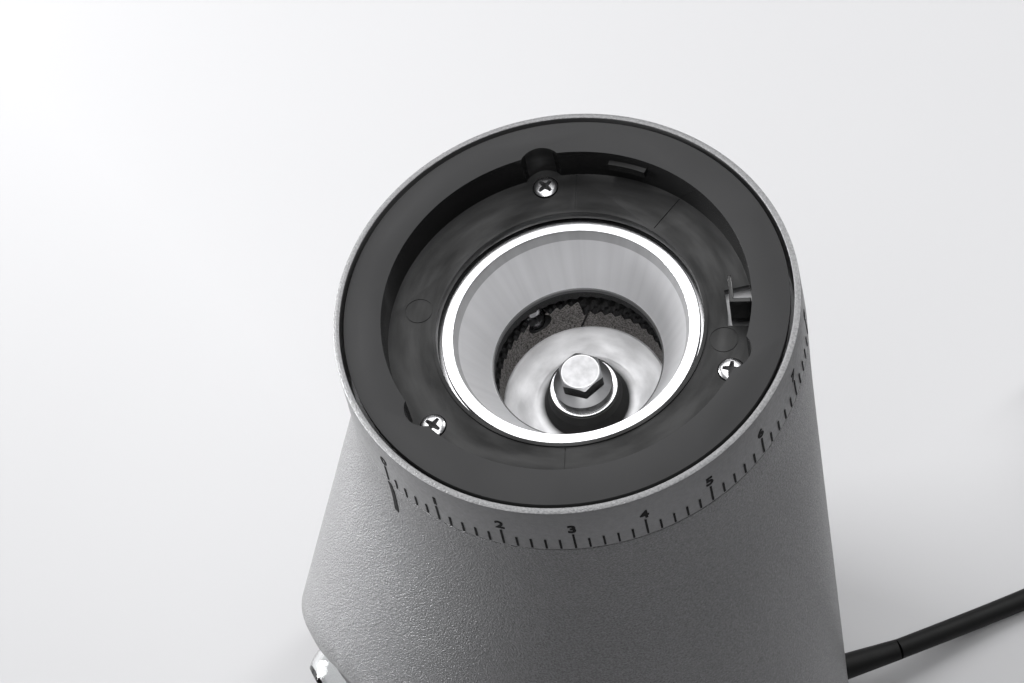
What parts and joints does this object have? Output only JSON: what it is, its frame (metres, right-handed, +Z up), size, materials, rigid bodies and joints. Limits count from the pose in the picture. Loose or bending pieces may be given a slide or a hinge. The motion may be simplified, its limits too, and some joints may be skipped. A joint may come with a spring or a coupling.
{
  "type": "burr coffee grinder",
  "caption": "Flat-burr coffee grinder with its hopper off: flared coated body, turning scale ring, funnel over the burrs, motor and gears, clear pull-out container and mains lead.",
  "frame": {"origin": "on the table, under the middle of the grinder's own box, cord left out", "axes": "+Z up along the burr axis, -Y to the front where the container pulls out, +X to the user's right as seen from the front"},
  "size_m": [0.1902, 0.3535, 0.235],
  "materials": {
    "powder_coat": "textured powder coat",
    "ring_coat": "fine satin coat, bright turned rim edge",
    "mark_ink": "printed marks",
    "black_moulding": "moulded black plastic",
    "gloss_moulding": "polished black plastic",
    "bright_aluminium": "turned and polished",
    "cast_metal": "die cast",
    "burr_steel": "hardened dark burr steel",
    "bright_steel": "bright zinc",
    "spring_steel": "drawn wire",
    "gear_nylon": "natural nylon",
    "brass": "turned",
    "motor_iron": "zinc plated",
    "magnet": "sintered ferrite",
    "circuit_board": "solder mask",
    "clear_plastic": "clear moulded plastic",
    "rubber": "soft rubber",
    "cord_jacket": "satin black jacket"
  },
  "bodies": {
    "housing": {"base_plate": "black_moulding", "base_screws": "bright_steel", "board_parts": "gloss_moulding", "body_shell": "powder_coat", "button_bezel": "ring_coat", "carrier_springs": "spring_steel", "chamber_housing": "cast_metal", "container_bay": "black_moulding", "control_board": "circuit_board", "cord_coil": "cord_jacket", "cord_gland": "rubber", "cord_tie": "rubber", "front_panel": "black_moulding", "gearbox_base": "cast_metal", "gearbox_cover": "cast_metal", "gearbox_screws": "bright_steel", "grounds_chute": "black_moulding", "guide_pins": "bright_steel", "hub_screws": "bright_steel", "index_mark": "mark_ink", "intermediate_pin": "bright_steel", "lower_bearing": "bright_steel", "motor_bushes": "brass", "motor_can": "motor_iron", "motor_end_cap": "motor_iron", "motor_magnets": "magnet", "motor_screws": "bright_steel", "plug_body": "rubber", "plug_pins": "bright_steel", "power_cord": "cord_jacket", "power_switch": "black_moulding", "retaining_ring": "cast_metal", "retaining_screws": "bright_steel", "rubber_feet": "rubber", "terminal_block": "black_moulding", "upper_bearing": "bright_steel"},
    "dial": {"scale_ring": "ring_coat", "scale_marks": "mark_ink", "hopper_collar": "black_moulding", "collar_screws": "bright_steel", "adjuster_ring": "cast_metal"},
    "latch": {"hopper_latch": "gloss_moulding"},
    "funnel": {"upper_burr_carrier": "bright_aluminium", "upper_burr": "burr_steel", "upper_burr_screws": "bright_steel"},
    "burr_rotor": {"lower_burr": "burr_steel", "lower_burr_screws": "bright_steel", "lower_burr_carrier": "bright_aluminium", "hub_seal": "rubber", "carrier_washer": "bright_steel", "carrier_bolt": "bright_steel", "drive_shaft": "bright_steel", "output_gear": "gear_nylon"},
    "middle_gear": {"intermediate_gear": "gear_nylon"},
    "motor_rotor": {"motor_shaft": "bright_steel", "motor_armature": "motor_iron", "motor_pinion": "brass", "motor_fan": "black_moulding"},
    "button": {"power_button": "gloss_moulding"},
    "container": {"grounds_container": "clear_plastic"}
  },
  "joints": [
    {"name": "scale_ring_turn", "type": "hinge", "parent": "housing", "child": "dial", "pos_m": [0, 0.0175, 0.22], "axis": [0, 0, 1], "range_deg": [-137.3, 0]},
    {"name": "burr_lift", "type": "slide", "parent": "housing", "child": "funnel", "axis": [0, 0, 1], "range_m": [-0.00002, 0.0006], "deforming": ["carrier_springs"]},
    {"name": "latch_flex", "type": "hinge", "parent": "dial", "child": "latch", "pos_m": [0.02898, 0.0498, 0.229], "axis": [0, 0, 1], "range_deg": [-3, 0], "stiffness_Nm_per_rad": 0.3},
    {"name": "burr_spin", "type": "hinge", "parent": "housing", "child": "burr_rotor", "pos_m": [0, 0.0175, 0.19], "axis": [0, 0, 1], "continuous": true},
    {"name": "middle_gear_spin", "type": "hinge", "parent": "housing", "child": "middle_gear", "pos_m": [-0.02425, 0.0315, 0.155], "axis": [0, 0, 1], "continuous": true},
    {"name": "motor_spin", "type": "hinge", "parent": "housing", "child": "motor_rotor", "pos_m": [-0.00459, 0.04527, 0.1], "axis": [0, 0, 1], "continuous": true},
    {"name": "button_press", "type": "slide", "parent": "housing", "child": "button", "axis": [0, 1, 0], "range_m": [0, 0.0015], "stiffness_N_per_m": 800},
    {"name": "container_pull", "type": "slide", "parent": "housing", "child": "container", "axis": [0, -1, 0], "range_m": [0, 0.1]}
  ],
  "couplings": [
    {"joint": "burr_lift", "follows": "scale_ring_turn", "m_per_rad": -0.00023873},
    {"joint": "middle_gear_spin", "follows": "burr_spin", "ratio": -2.1111},
    {"joint": "motor_spin", "follows": "burr_spin", "ratio": 6.3333}
  ]
}
